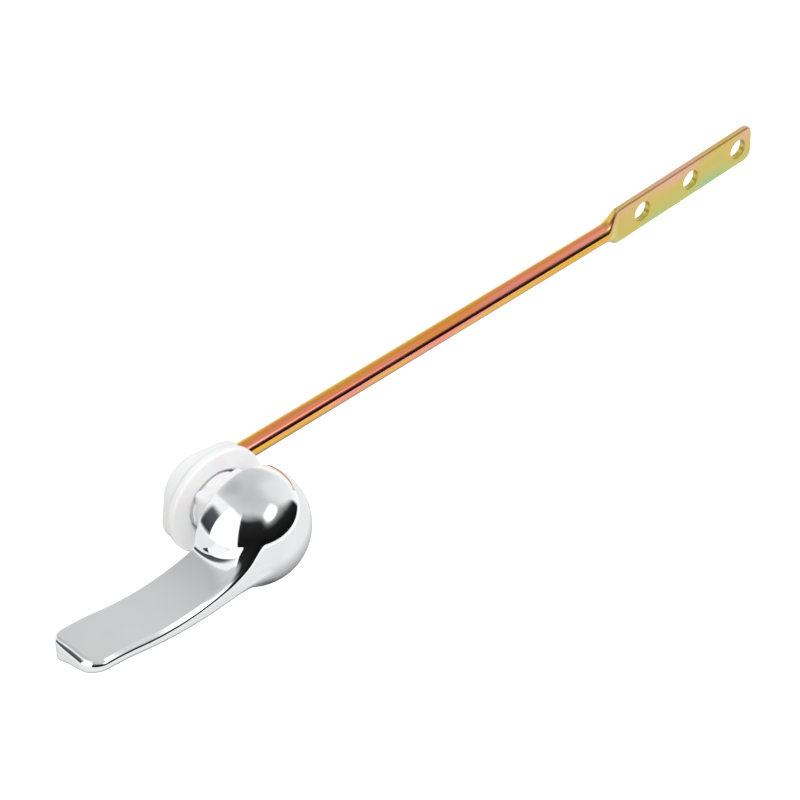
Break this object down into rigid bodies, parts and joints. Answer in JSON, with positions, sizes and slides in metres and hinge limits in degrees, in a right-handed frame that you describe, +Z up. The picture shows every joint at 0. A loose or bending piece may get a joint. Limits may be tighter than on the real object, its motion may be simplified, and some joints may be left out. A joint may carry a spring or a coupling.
{
  "type": "cistern lever",
  "caption": "Flush lever for a cistern: domed handle with a curved paddle, bushing with a square shank and nut, and a bent rod arm with a flat, holed end.",
  "frame": {"origin": "on the turning axis, at the outside face of the tank's wall, where the bushing's head seats", "axes": "+X along the arm, +Y from the user through the tank's wall along the turning axis, +Z up"},
  "size_m": [0.2556, 0.038, 0.0294],
  "materials": {
    "handle": "polished chrome plate",
    "bushing": "white moulded plastic",
    "nut": "white moulded plastic",
    "arm": "yellow iridescent zinc plate"
  },
  "bodies": {
    "mounting": {"bushing": "bushing"},
    "clamp_nut": {"nut": "nut"},
    "lever": {"handle": "handle", "arm": "arm"}
  },
  "joints": [
    {"name": "lever_turn", "type": "hinge", "parent": "mounting", "child": "lever", "pos_m": [0, 0, 0], "axis": [0, -1, 0], "range_deg": [0, 45]},
    {"name": "nut_turn", "type": "hinge", "parent": "mounting", "child": "clamp_nut", "pos_m": [0, 0.0104, 0], "axis": [0, -1, 0], "range_deg": [0, 330]}
  ]
}
